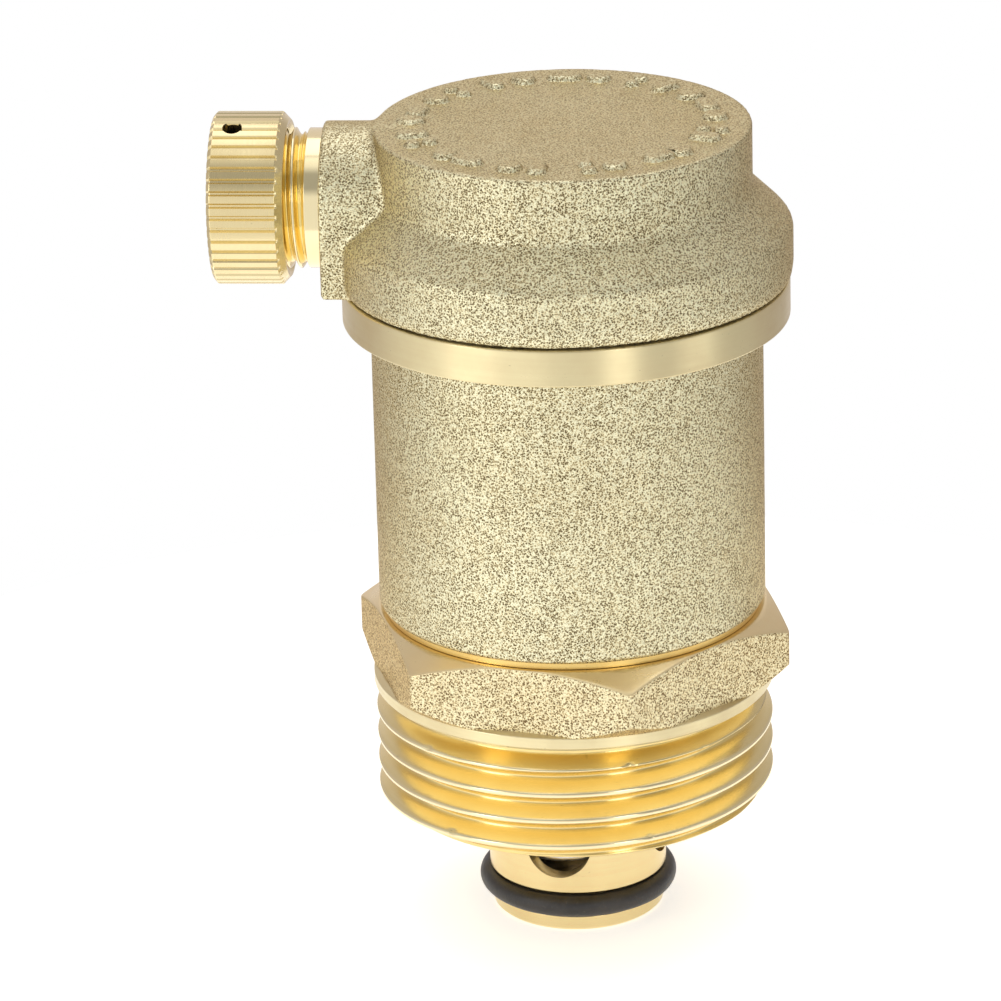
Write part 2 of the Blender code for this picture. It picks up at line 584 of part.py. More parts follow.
def main():
    clear_scene()
    make_base()
    make_tail_gasket()
    make_spool()
    make_spool_o_ring()
    make_spool_spring()
    make_body()
    make_bonnet()
    make_bonnet_o_ring()
    make_vent_nozzle()
    make_nozzle_washer()
    make_vent_cap()
    make_cap_seal_pad()
    make_float()
    make_float_stem()
    lever = make_lever()
    make_seat_pad(lever)
    make_lever_pivot_pin()
    make_lever_bracket()
    for i, x in enumerate(SCREW_X):
        make_bracket_screw(i + 1, x)


main()
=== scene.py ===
"""The looks of the automatic air vent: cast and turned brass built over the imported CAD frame.

Everything is in the row frame, in metres. The vertical axis is Z, and the outlet lies along -X
at height OUTLET_Z. Outlines are lists of (radius, height, fillet) corners in millimetres.
"""

import math

import bmesh
import bpy
import numpy as np
from mathutils import Matrix, Vector


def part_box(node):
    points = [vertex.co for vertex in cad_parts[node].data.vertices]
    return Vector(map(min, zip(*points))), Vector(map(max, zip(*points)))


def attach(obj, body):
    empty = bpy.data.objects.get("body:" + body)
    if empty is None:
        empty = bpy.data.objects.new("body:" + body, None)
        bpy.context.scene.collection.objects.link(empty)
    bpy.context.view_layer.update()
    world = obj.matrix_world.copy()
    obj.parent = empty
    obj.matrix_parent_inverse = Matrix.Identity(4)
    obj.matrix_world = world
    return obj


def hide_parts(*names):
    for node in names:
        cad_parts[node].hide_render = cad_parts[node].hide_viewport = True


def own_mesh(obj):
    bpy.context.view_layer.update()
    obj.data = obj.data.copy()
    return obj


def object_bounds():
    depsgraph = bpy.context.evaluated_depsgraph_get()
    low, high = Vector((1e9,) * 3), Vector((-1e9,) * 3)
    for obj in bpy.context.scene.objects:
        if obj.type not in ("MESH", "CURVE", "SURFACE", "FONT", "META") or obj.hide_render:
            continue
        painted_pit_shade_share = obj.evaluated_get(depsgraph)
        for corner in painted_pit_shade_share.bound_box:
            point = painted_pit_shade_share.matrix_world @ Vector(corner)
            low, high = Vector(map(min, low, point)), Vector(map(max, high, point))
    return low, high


MM = 0.001
TAU = 2 * math.pi
HOUSING = "housing"

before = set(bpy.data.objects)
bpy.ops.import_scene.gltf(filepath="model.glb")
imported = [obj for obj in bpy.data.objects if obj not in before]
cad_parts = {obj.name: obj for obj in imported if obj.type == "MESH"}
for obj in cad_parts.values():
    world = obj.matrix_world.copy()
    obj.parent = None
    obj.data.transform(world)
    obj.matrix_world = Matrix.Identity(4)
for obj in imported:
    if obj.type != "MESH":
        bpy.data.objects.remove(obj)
cad_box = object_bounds()
SPOOL_LOW, SPOOL_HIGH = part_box("spool")
CAP_LOW, CAP_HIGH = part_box("vent_cap")
OUTLET_Z = (CAP_LOW.z + CAP_HIGH.z) / 2 / MM
rng = np.random.default_rng(7)


# ---------------------------------------------------------------- mesh helpers


def dense_outline(corners, step=0.4, arc_steps=5):
    """Corners (radius, height, fillet) as a fine line, with each corner rounded by its fillet."""
    corners = [tuple(c) if len(c) == 3 else (*c, 0.0) for c in corners]
    pieces = []
    for i, (r, z, fillet) in enumerate(corners):
        here = np.array((r, z))
        before = np.array(corners[i - 1][:2]) - here
        after = np.array(corners[(i + 1) % len(corners)][:2]) - here
        la, lb = np.linalg.norm(before), np.linalg.norm(after)
        if fillet <= 0 or la < 1e-9 or lb < 1e-9:
            pieces.append([here])
            continue
        ua, ub = before / la, after / lb
        half = math.acos(max(-1, min(1, float(ua @ ub)))) / 2
        cut = min(fillet / max(math.tan(half), 1e-6), 0.48 * la, 0.48 * lb)
        radius = cut * math.tan(half)
        bisector = (ua + ub) / max(np.linalg.norm(ua + ub), 1e-9)
        centre = here + bisector * radius / max(math.sin(half), 1e-6)
        start, end = here + ua * cut - centre, here + ub * cut - centre
        t0, t1 = math.atan2(start[1], start[0]), math.atan2(end[1], end[0])
        t1 = t0 + (t1 - t0 + math.pi) % TAU - math.pi
        turns = np.linspace(t0, t1, arc_steps + 1)
        pieces.append([centre + radius * np.array((math.cos(t), math.sin(t))) for t in turns])
    line = []
    for piece, following in zip(pieces, pieces[1:] + pieces[:1]):
        line += piece
        a, b = piece[-1], following[0]
        length = np.linalg.norm(b - a)
        if length < 0.12 or (a[0] < 1e-6 and b[0] < 1e-6):
            continue
        count = max(2, math.ceil(length / step))
        shares = np.arange(1, count) / count
        shares = np.concatenate([[0.04 / length], shares, [1 - 0.04 / length]])
        line += [a + (b - a) * s for s in shares]
    return np.array(line)


def open_outline(corners, step):
    """The same, but ending at the last corner."""
    line = dense_outline(corners, step)
    last = np.argmin(np.hypot(line[:, 0] - corners[-1][0], line[:, 1] - corners[-1][1]))
    return line[: last + 1]


def to_outlet(points):
    """Points drawn along +Z, in mm, laid along the outlet axis so that +Z points to -X."""
    x, y, z = points[..., 0], points[..., 1], points[..., 2]
    return np.stack([-z, y, x + OUTLET_Z], -1)


def spun(line, steps):
    """The grid of an outline turned about Z: one row for each point of the line."""
    turn = np.arange(steps) / steps * TAU
    r, z = line[:, 0:1], line[:, 1:2]
    return np.stack([-r * np.sin(turn), r * np.cos(turn), z + 0 * turn], -1)


def grid_faces(rows, columns, close_rows, close_columns):
    i = np.arange(rows if close_rows else rows - 1)[:, None]
    j = np.arange(columns if close_columns else columns - 1)[None]
    a, b = i * columns + j, i * columns + (j + 1) % columns
    c, d = (i + 1) % rows * columns + (j + 1) % columns, (i + 1) % rows * columns + j
    return np.stack([a, b, c, d], -1).reshape(-1, 4)


def make_piece(name, points, faces, material, body, nodes=(), weld=0.0005, smooth=True):
    """A mesh piece in mm that rides on a body, with its doubles merged and its normals outward."""
    mesh = bpy.data.meshes.new(name)
    faces = faces.tolist() if isinstance(faces, np.ndarray) else faces
    mesh.from_pydata((np.asarray(points).reshape(-1, 3) * MM).tolist(), [], faces)
    bm = bmesh.new()
    bm.from_mesh(mesh)
    bmesh.ops.remove_doubles(bm, verts=bm.verts, dist=weld * MM)
    bmesh.ops.dissolve_degenerate(bm, edges=bm.edges, dist=1e-8)
    bmesh.ops.recalc_face_normals(bm, faces=bm.faces)
    bm.to_mesh(mesh)
    bm.free()
    if smooth:
        mesh.shade_smooth()
    return place(bpy.data.objects.new(name, mesh), material, body, nodes)


def place(obj, material, body, nodes=()):
    if obj.name not in bpy.context.scene.collection.objects:
        bpy.context.scene.collection.objects.link(obj)
    obj.data.materials.clear()
    obj.data.materials.append(material)
    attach(obj, body)
    if nodes:
        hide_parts(*nodes)
    return obj


def turned_piece(name, corners, steps, material, body, nodes=(), outlet=False, step=0.4):
    """A closed outline turned about the vertical axis, or about the outlet axis."""
    grid = spun(dense_outline(corners, step), steps)
    if outlet:
        grid = to_outlet(grid)
    faces = grid_faces(*grid.shape[:2], True, True)
    return make_piece(name, grid, faces, material, body, nodes)


def thread_grid(profile, pitch, phase, low, high, shape, steps):
    """The wall of a right-hand thread as a helical grid between two heights.

    profile is one pitch of (height, radius) points, phase the height of its start at -Y, and
    shape(radius, height, turn) trims the radius, as for run-outs and nicks.
    """
    turn = np.linspace(0, TAU, steps + 1)
    lead = pitch * (turn / TAU - 0.5)
    first = math.floor((low - phase - pitch) / pitch)
    count = math.ceil((high - low) / pitch) + 3
    heights = np.concatenate([profile[:-1, 0] + pitch * k for k in range(first, first + count)])
    z = np.clip(phase + heights[:, None] + lead[None], low, high)
    radius = np.interp((z - phase - lead[None]) % pitch, profile[:, 0], profile[:, 1])
    radius = shape(radius, z, turn[None] + 0 * z)
    return np.stack([-radius * np.sin(turn), radius * np.cos(turn), z], -1)


def apply_modifiers(obj):
    """The object's mesh as its modifiers leave it."""
    evaluated = obj.evaluated_get(bpy.context.evaluated_depsgraph_get())
    mesh = bpy.data.meshes.new_from_object(evaluated)
    obj.modifiers.clear()
    obj.data = mesh
    return mesh


def cut_out(obj, cutters):
    """Removes the cutters' shapes from the object, then deletes the cutters."""
    for cutter in cutters:
        modifier = obj.modifiers.new(cutter.name, "BOOLEAN")
        modifier.operation = "DIFFERENCE"
        modifier.solver = "EXACT"
        modifier.object = cutter
    bpy.context.view_layer.update()
    mesh = apply_modifiers(obj)
    for cutter in cutters:
        bpy.data.objects.remove(cutter, do_unlink=True)
    mesh.shade_smooth()
    mesh.set_sharp_from_angle(angle=math.radians(38))
    return obj


def rod_cutter(name, radius, start, end, steps=96):
    start, end = Vector(start) * MM, Vector(end) * MM
    bm = bmesh.new()
    turn = (end - start).to_track_quat("Z", "Y").to_matrix().to_4x4()
    bmesh.ops.create_cone(
        bm, cap_ends=True, segments=steps, radius1=radius * MM, radius2=radius * MM,
        depth=(end - start).length, matrix=Matrix.Translation((start + end) / 2) @ turn,
    )
    mesh = bpy.data.meshes.new(name)
    bm.to_mesh(mesh)
    bm.free()
    obj = bpy.data.objects.new(name, mesh)
    bpy.context.scene.collection.objects.link(obj)
    return obj


def smooth_step(x):
    x = np.clip(x, 0, 1)
    return x * x * (3 - 2 * x)


def smooth_min(a, b, k):
    h = np.clip(0.5 + 0.5 * (b - a) / k, 0, 1)
    return b + (a - b) * h - k * h * (1 - h)


# ---------------------------------------------------------------- material helpers


class Shading:
    """Short calls that add nodes to a material and link them."""

    def __init__(self, name):
        self.material = bpy.data.materials.new(name)
        self.material.use_nodes = True
        self.tree = self.material.node_tree
        self.shader = self.tree.nodes["Principled BSDF"]
        self.object_mm = self.vector("MULTIPLY", self.node("ShaderNodeTexCoord").outputs["Object"],
                                     (1000, 1000, 1000))

    def node(self, kind, **settings):
        made = self.tree.nodes.new(kind)
        for key, value in settings.items():
            setattr(made, key, value)
        return made

    def feed(self, socket, value):
        if isinstance(value, bpy.types.NodeSocket):
            self.tree.links.new(value, socket)
        elif value is not None:
            socket.default_value = value

    def math(self, operation, a, b=None, clamp=False):
        made = self.node("ShaderNodeMath", operation=operation, use_clamp=clamp)
        self.feed(made.inputs[0], a)
        self.feed(made.inputs[1], b)
        return made.outputs[0]

    def vector(self, operation, a, b=None):
        made = self.node("ShaderNodeVectorMath", operation=operation)
        self.feed(made.inputs[0], a)
        self.feed(made.inputs[1], b)
        return made.outputs["Value" if operation in ("LENGTH", "DOT_PRODUCT") else "Vector"]

    def noise(self, scale, detail=2.0, roughness=0.5, where=None, distortion=0.0):
        made = self.node("ShaderNodeTexNoise")
        self.feed(made.inputs["Vector"], where if where is not None else self.object_mm)
        made.inputs["Scale"].default_value = scale
        made.inputs["Detail"].default_value = detail
        made.inputs["Roughness"].default_value = roughness
        made.inputs["Distortion"].default_value = distortion
        return made.outputs["Fac"]

    def cells(self, scale, feature="F1", randomness=1.0):
        made = self.node("ShaderNodeTexVoronoi", feature=feature)
        self.feed(made.inputs["Vector"], self.object_mm)
        made.inputs["Scale"].default_value = scale
        made.inputs["Randomness"].default_value = randomness
        return made.outputs["Distance"]

    def ramp(self, value, *stops):
        """A value from 0 to 1 through (place, colour or level) stops."""
        made = self.node("ShaderNodeValToRGB")
        elements = made.color_ramp.elements
        while len(elements) < len(stops):
            elements.new(0.5)
        for element, (at, colour) in zip(elements, stops):
            element.position = at
            element.color = (*colour, 1) if isinstance(colour, tuple) else (colour, colour, colour, 1)
        self.feed(made.inputs["Fac"], value)
        return made.outputs["Color"]

    def span(self, value, low, high, to_low=0.0, to_high=1.0):
        made = self.node("ShaderNodeMapRange")
        self.feed(made.inputs["Value"], value)
        for key, number in zip(("From Min", "From Max", "To Min", "To Max"), (low, high, to_low, to_high)):
            made.inputs[key].default_value = number
        return made.outputs["Result"]

    def mix(self, share, a, b, blend="MIX"):
        made = self.node("ShaderNodeMix", data_type="RGBA", blend_type=blend)
        self.feed(made.inputs["Factor"], share)
        for socket, value in ((made.inputs[6], a), (made.inputs[7], b)):
            self.feed(socket, (*value, 1) if isinstance(value, tuple) and len(value) == 3 else value)
        return made.outputs[2]

    def bump(self, height, distance, strength=1.0, over=None):
        made = self.node("ShaderNodeBump")
        self.feed(made.inputs["Height"], height)
        made.inputs["Distance"].default_value = distance
        made.inputs["Strength"].default_value = strength
        self.feed(made.inputs["Normal"], over)
        return made.outputs["Normal"]

    def set(self, **values):
        for key, value in values.items():
            self.feed(self.shader.inputs[key.replace("_", " ")], value)

    def turning(self, outlet=False):
        """A coordinate that changes only across tool marks: height plus radius about the part's axis."""
        parts = self.node("ShaderNodeSeparateXYZ")
        self.feed(parts.inputs[0], self.object_mm)
        x, y, z = parts.outputs
        if outlet:
            x, z = self.math("SUBTRACT", z, OUTLET_Z), x
        radius = self.math("SQRT", self.math("ADD", self.math("MULTIPLY", x, x), self.math("MULTIPLY", y, y)))
        along = self.math("ADD", radius, z)
        made = self.node("ShaderNodeCombineXYZ")
        self.feed(made.inputs[0], along)
        slow = self.vector("MULTIPLY", self.object_mm, (0.012, 0.012, 0.012))
        return self.vector("ADD", made.outputs[0], slow), along, radius


def cast_brass(name, light, mid, dark, edge, grain=5.8, depth=0.07, roughness=0.3):
    """Shot-blasted casting: small pits between bright grains. The pits are painted dark, a painted shade in the
    recesses, and painted fainter on upward faces, which paints the top lighter.
    """
    s = Shading(name)
    warp = s.noise(1.4, 2.0, 0.5)
    pits = s.cells(grain)
    small = s.cells(grain * 1.9)
    broad = s.noise(0.16, 3.0, 0.6)
    patch = s.noise(0.9, 2.0, 0.5)
    mottle = s.math("ADD", s.math("MULTIPLY", broad, 0.7), s.math("MULTIPLY", patch, 0.3))
    grains = s.math("ADD", s.math("MULTIPLY", s.span(pits, 0.46, 0.64), 0.75),
                    s.math("MULTIPLY", s.span(mottle, 0.34, 0.66), 0.25))
    ground = s.mix(grains, mid, light)
    normal = s.node("ShaderNodeSeparateXYZ")
    s.feed(normal.inputs[0], s.node("ShaderNodeTexCoord").outputs["Normal"])
    # Upward faces get a smaller share of the dark pits: a painted lightening of the top, as if lit from above.
    upward = s.span(normal.outputs["Z"], 0.6, 0.95)
    painted_pit_shade_share = s.span(upward, 0.0, 1.0, 0.92, 0.6)
    # deep marks the pits. The dark colour it mixes in below is painted shade in the recesses.
    deep = s.math("MAXIMUM", s.span(pits, 0.46, 0.30), s.math("MULTIPLY", s.span(small, 0.42, 0.30), 0.55))
    deep = s.math("MULTIPLY", deep, s.span(warp, 0.30, 0.56, 0.62, 1.0))
    s.set(Base_Color=s.mix(s.math("MULTIPLY", deep, painted_pit_shade_share), ground, dark), Metallic=1.0)
    s.set(Specular_Tint=(*edge, 1))
    s.set(Roughness=s.span(deep, 0.0, 1.0, roughness, roughness + 0.25))
    lumps = s.bump(broad, 0.00012, 0.5)
    relief = s.math("SUBTRACT", s.math("MULTIPLY", s.noise(grain * 1.3, 2.0, 0.5), 0.9), s.math("MULTIPLY", deep, 0.5))
    s.set(Normal=s.bump(relief, depth * MM, 1.0, lumps))
    return s.material


def turned_brass(name, light, deep, outlet=False, line=5.0, depth=0.004, roughness=0.2, anisotropy=0.5, stain=0.35,
                 thread=None, bore=0.0):
    """Lathe-turned brass: fine lines round the axis, faint handling stains and a few pits. With thread, painted shade
    in the thread roots and a painted highlight on the crests; with bore, painted shade inside the bore.
    """
    s = Shading(name)
    where, _, radius = s.turning(outlet)
    lines = s.noise(line, 4.0, 0.7, where)
    coarse = s.noise(line * 0.22, 2.0, 0.5, where)
    stains = s.noise(0.23, 4.0, 0.6)
    colour = s.mix(s.span(stains, 0.42, 0.68, 0.0, stain), light, deep)
    colour = s.mix(s.span(lines, 0.3, 0.75, 0.0, 0.22), colour, deep)
    specks = s.span(s.noise(2.6, 2.0, 0.5), 0.74, 0.78)
    colour = s.mix(s.math("MULTIPLY", specks, 0.6), colour, (0.12, 0.07, 0.03))
    # Painted shade: the inside of the bore, from just above its lower end, is painted near black because it lies deep
    # inside.
    if bore:
        parts = s.node("ShaderNodeSeparateXYZ")
        s.feed(parts.inputs[0], s.object_mm)
        inside = s.math("MULTIPLY", s.span(radius, bore + 0.12, bore + 0.02), s.span(parts.outputs[2], -9.0, -8.4))
        colour = s.mix(s.math("MULTIPLY", inside, 0.92), colour, (0.05, 0.035, 0.02))
    # Painted shade: a darker amber towards the thread's root radius. Painted highlight: a pale colour on the crests.
    if thread:
        root, crest, painted_root_shade = thread
        colour = s.mix(s.span(radius, root + 0.7 * (crest - root), root + 0.25 * (crest - root), 0.0, 0.6), colour, painted_root_shade)
        colour = s.mix(s.span(radius, crest - 0.12 * (crest - root), crest, 0.0, 0.5), colour, (0.97, 0.90, 0.66))
    s.set(Base_Color=colour, Metallic=1.0, Anisotropic=anisotropy, Anisotropic_Rotation=0.25)
    wear = s.math("ADD", s.math("MULTIPLY", lines, 0.5), s.math("MULTIPLY", stains, 0.5))
    s.set(Roughness=s.span(wear, 0.3, 0.7, roughness * 0.75, roughness * 1.35))
    tangent = s.node("ShaderNodeTangent", direction_type="RADIAL", axis="X" if outlet else "Z")
    s.set(Tangent=tangent.outputs["Tangent"])
    both = s.math("ADD", lines, s.math("MULTIPLY", coarse, 1.6))
    s.set(Normal=s.bump(both, depth * MM, 1.0))
    return s.material


def black_rubber(name):
    """Matte moulded rubber with dust and scuffs."""
    s = Shading(name)
    dust = s.span(s.noise(3.4, 3.0, 0.7), 0.6, 0.78)
    haze = s.span(s.noise(0.45, 3.0, 0.6), 0.35, 0.75)
    colour = s.mix(haze, (0.016, 0.014, 0.013), (0.042, 0.037, 0.034))
    colour = s.mix(s.math("MULTIPLY", dust, 0.25), colour, (0.16, 0.14, 0.12))
    s.set(Base_Color=colour, Roughness=s.span(haze, 0, 1, 0.36, 0.58), Specular_IOR_Level=0.55)
    s.set(Normal=s.bump(s.noise(5.0, 3.0, 0.6), 0.00003))
    return s.material


def steel(name, light, dark, scale=1.6, roughness=0.22):
    """Drawn or pressed stainless steel with streaks."""
    s = Shading(name)
    streak = s.noise(scale, 4.0, 0.65, s.vector("MULTIPLY", s.object_mm, (1.0, 1.0, 5.0)))
    s.set(Base_Color=s.mix(s.span(streak, 0.3, 0.7), dark, light), Metallic=1.0)
    s.set(Roughness=s.span(streak, 0.3, 0.7, roughness, roughness * 1.7))
    s.set(Normal=s.bump(streak, 0.000006))
    return s.material


def dull(name, light, dark, scale, depth, roughness):
    """Fibre or moulded plastic: mottled, with a fine grain."""
    s = Shading(name)
    mottle = s.noise(scale, 4.0, 0.65)
    grain = s.noise(scale * 7, 2.0, 0.5)
    s.set(Base_Color=s.mix(s.span(mottle, 0.35, 0.65), dark, light))
    s.set(Roughness=s.span(grain, 0.3, 0.7, roughness * 0.85, roughness * 1.15))
    s.set(Normal=s.bump(s.math("ADD", mottle, grain), depth * MM))
    return s.material


# The third colour of each casting is the painted shade in its pits.
CAST = cast_brass("cast_brass", (1.0, 0.97, 0.68), (0.84, 0.71, 0.41), (0.11, 0.075, 0.03), (0.66, 0.53, 0.39))
HEX = cast_brass("cast_brass_hexagon", (1.0, 0.92, 0.60), (0.86, 0.69, 0.38), (0.15, 0.09, 0.035), (0.63, 0.48, 0.34), 5.6, 0.06)
CHAMFER = turned_brass("turned_chamfer", (0.96, 0.80, 0.47), (0.86, 0.64, 0.33), False, 3.0, 0.003, 0.30, 0.3, 0.3)
BAND = turned_brass("turned_band", (0.88, 0.77, 0.46), (0.76, 0.61, 0.35), False, 3.2, 0.004, 0.32, 0.85)
GROOVE = turned_brass("turned_groove", (0.93, 0.68, 0.25), (0.85, 0.54, 0.16), False, 4.0, 0.003, 0.34, 0.6)
# The thread tuples give root and crest radii and the colour of the painted shade in the roots; the crests get a painted
# highlight.
BRIGHT = turned_brass("turned_bright", (0.93, 0.78, 0.41), (0.85, 0.64, 0.24), False, 4.0, 0.002, 0.20, 0.65, 0.3,
                      (15.14, 16.6, (0.88, 0.66, 0.24)))
OUTLET = turned_brass("turned_outlet", (0.96, 0.79, 0.40), (0.88, 0.66, 0.24), True, 4.0, 0.002, 0.15, 0.5, 0.25,
                      (5.17, 5.72, (0.88, 0.66, 0.20)))
CAP = turned_brass("knurled_cap", (0.88, 0.75, 0.43), (0.78, 0.61, 0.32), True, 3.0, 0.003, 0.25, 0.4, 0.35)
# bore=6.0 paints shade inside the spool's bore.
SPOOL = turned_brass("spool_brass", (0.83, 0.67, 0.35), (0.72, 0.54, 0.25), False, 4.5, 0.003, 0.22, 0.7, 0.25,
                     bore=6.0)
RUBBER = black_rubber("black_rubber")
SPRING = steel("spring_steel", (0.95, 0.95, 0.94), (0.72, 0.72, 0.71), 2.4, 0.30)
STEEL = steel("stainless_steel", (0.74, 0.74, 0.75), (0.50, 0.50, 0.51))
COPPER = turned_brass("copper_washer", (0.86, 0.50, 0.33), (0.62, 0.31, 0.18), True, 3.0, 0.003, 0.3, 0.2)
FIBRE = dull("fibre", (0.36, 0.14, 0.10), (0.22, 0.08, 0.06), 1.2, 0.02, 0.8)
PLASTIC = dull("float_plastic", (0.88, 0.87, 0.82), (0.80, 0.79, 0.73), 0.25, 0.006, 0.45)


# ---------------------------------------------------------------- base


ROOT_R, CREST_R, PITCH = 15.14, 16.62, 2.309
HEX_R, HEX_TURN = 18.66, math.radians(18.05)
FLAT_R = HEX_R * math.cos(math.pi / 6)


RIDGE_POINTS = 27


def ridge(pitch, root, crest, flat, rounding):
    """One pitch of a thread form as (height, radius) points from root to root."""
    flank = abs(crest - root) * math.tan(math.radians(27.5))
    gap = (pitch - flat - 2 * flank) / 2
    corners = [(-pitch, root), (0, root), (gap, root), (gap + flank, crest), (gap + flank + flat, crest)]
    corners += [(pitch - gap, root), (2 * pitch, root)]
    heights = np.array([c[0] for c in corners])
    radii = np.array([c[1] for c in corners])
    fine = np.linspace(-0.3 * pitch, 1.3 * pitch, 641)
    values = np.interp(fine, heights, radii)
    width = max(1, int(rounding / (fine[1] - fine[0])))
    kernel = np.ones(2 * width + 1) / (2 * width + 1)
    crisp = np.convolve(np.convolve(values, kernel, "same"), kernel, "same")
    wide = np.ones(8 * width + 1) / (8 * width + 1)
    soft = np.convolve(values, wide, "same")
    share = smooth_step((values - root) / (crest - root))
    values = crisp * share + soft * (1 - share)
    places = np.linspace(0, pitch, RIDGE_POINTS)
    return np.stack([places, np.interp(places, fine, values)], -1)


def base_thread():
    nicks = [(rng.uniform(0, TAU), rng.uniform(0.8, 8.5), rng.uniform(0.10, 0.22)) for _ in range(34)]

    def shape(radius, z, turn):
        radius = np.minimum(radius, 15.0 + np.maximum(z, 0) * 5 / 3.1)
        radius = np.minimum(radius, ROOT_R + np.maximum(0, (9.3 - z) * 1.6))
        for at, height, size in nicks:
            away = ((turn - at + math.pi) % TAU - math.pi) * 16.6
            near = np.exp(-((away / (1.6 * size)) ** 2 + ((z - height) / size) ** 2))
            radius = radius - 0.16 * near * (radius > CREST_R - 0.35)
        return radius

    profile = ridge(PITCH, ROOT_R, CREST_R, 0.34, 0.07)
    crest = profile[np.argmax(profile[:, 1]), 0]
    steps = 360
    wall = thread_grid(profile, PITCH, 1.55 - crest, 0.0, 10.3, shape, steps)
    bore = [(ROOT_R, 10.3), (10.62, 10.3), (10.62, 9.6), (9.25, 9.6), (9.25, 8.1), (7.57, 8.1), (7.57, 1.4, 0.1)]
    bore = open_outline(bore + [(9.2, 0.0, 0.15), (14.9, 0.0)], 0.4)
    inner = spun(bore, steps)
    inner = np.concatenate([inner, inner[:, :1]], 1)
    grid = np.concatenate([wall, inner])
    faces = grid_faces(*grid.shape[:2], True, False)
    return make_piece("base_thread", grid, faces, BRIGHT, HOUSING, ("base",))


def base_hexagon():
    """The hexagon as a polar grid whose rows follow the chamfers' curved edges. The rest is turned."""
    steps = 720
    azimuth = np.arange(steps) / steps * TAU
    flat = FLAT_R / np.cos((azimuth - HEX_TURN) % (TAU / 6) - math.pi / 6)
    flat = smooth_min(flat, np.full(steps, HEX_R - 0.05), 0.25)
    low, top, slope_up, slope_low = 10.75, 16.95, (HEX_R + 0.1 - FLAT_R) / 1.5, (HEX_R + 0.25 - FLAT_R) / 2.0
    z_top = top - (flat - FLAT_R) / slope_up
    z_low = low + (flat - FLAT_R + 0.15) / slope_low
    rows = []
    for share in np.concatenate([np.linspace(0, 1, 7)[:-1], np.linspace(1, 2, 20), np.linspace(2, 3, 7)[1:]]):
        if share < 1:
            z = low + (z_low - low) * share
        elif share <= 2:
            z = z_low + (z_top - z_low) * (0.5 - 0.5 * math.cos(math.pi * (share - 1)))
        else:
            z = z_top + (top - z_top) * (share - 2)
        cone = np.minimum(FLAT_R + (top - z) * slope_up, FLAT_R - 0.15 + (z - low) * slope_low)
        rows.append((smooth_min(flat, cone, 0.16), z))
    inner = [(16.0, 16.95), (10.62, 16.95, 0.2), (10.62, 10.25), (15.0, 10.75)]
    rows += [(r + 0 * azimuth, z + 0 * azimuth) for r, z in open_outline(inner, 0.4)]
    grid = np.array([np.stack([r * np.sin(azimuth), -r * np.cos(azimuth), z], -1) for r, z in rows])
    piece = make_piece("base_hexagon", grid, grid_faces(*grid.shape[:2], True, True), HEX, HOUSING)
    piece.data.materials.append(CHAMFER)
    for polygon in piece.data.polygons:
        x, y, z = polygon.center
        if polygon.normal.z > 0.3 and z > 14.5 * MM or math.hypot(x, y) < 12 * MM:
            polygon.material_index = 1


def base_collar():
    corners = [(14.9, 10.15), (16.5, 10.15, 0.12), (16.75, 10.42, 0.12), (16.75, 11.3, 0.1), (16.2, 11.5), (14.9, 11.5)]
    turned_piece("base_collar", corners, 360, BAND, HOUSING, step=0.25)


# ---------------------------------------------------------------- body


def body_pieces():
    shell = [(9.25, 10.3, 0.1), (10.45, 10.3, 0.2), (10.45, 17.05, 0.1), (15.2, 17.05, 0.1), (15.2, 17.5, 0.15)]
    shell += [(16.1, 17.5, 0.5), (16.1, 42.35), (17.2, 42.35), (17.2, 45.0), (16.7, 45.0), (16.7, 43.85, 0.1)]
    shell += [(14.98, 43.85, 0.1), (14.98, 39.9), (13.9, 39.9, 0.2), (13.9, 20.3, 0.8), (4.5, 20.3, 0.3)]
    shell += [(4.5, 18.6, 0.3), (9.25, 18.6, 0.5)]
    line = dense_outline(shell, 0.6)
    grid = spun(line, 360)
    turn = np.arange(360) / 360 * TAU
    outer = (line[:, 0] > 15.9) & (line[:, 1] < 42.3)
    wave = 0.02 * np.sin(3 * turn + 0.7) + 0.015 * np.sin(7 * turn + 2.1)
    heights = grid[outer][..., 2]
    wobble = (wave + 0.012 * np.sin(0.8 * heights + 5 * turn)) / 16.1
    grid[outer, :, :2] *= 1 - 0.5 * np.abs(wobble)[..., None]
    make_piece("body_shell", grid, grid_faces(*grid.shape[:2], True, True), CAST, HOUSING, ("body",))
    groove = [(14.6, 16.98), (15.72, 16.98, 0.05), (15.72, 17.6), (14.6, 17.6)]
    turned_piece("body_groove", groove, 360, GROOVE, HOUSING, step=0.2)
    band = [(17.0, 42.2), (18.35, 42.2, 0.14), (18.35, 45.25, 0.16), (16.72, 45.25, 0.05), (16.72, 44.9), (17.0, 44.9)]
    turned_piece("body_band", band, 512, BAND, HOUSING, step=0.3)


# ---------------------------------------------------------------- bonnet


def polygon_distance(points, corners):
    """Signed distance of (N, 2) points to a closed outline, negative inside."""
    corners = np.asarray(corners, float)
    best = np.full(len(points), 1e9)
    inside = np.zeros(len(points), bool)
    for a, b in zip(corners, np.roll(corners, -1, 0)):
        edge, away = b - a, points - a
        share = np.clip(away @ edge / (edge @ edge), 0, 1)
        gap = away - share[:, None] * edge
        best = np.minimum(best, (gap * gap).sum(1))
        crosses = (a[1] > points[:, 1]) != (b[1] > points[:, 1])
        rise = edge[1] if abs(edge[1]) > 1e-12 else 1e-12
        inside ^= crosses & (points[:, 0] < a[0] + (points[:, 1] - a[1]) * edge[0] / rise)
    return np.sqrt(best) * np.where(inside, -1, 1)


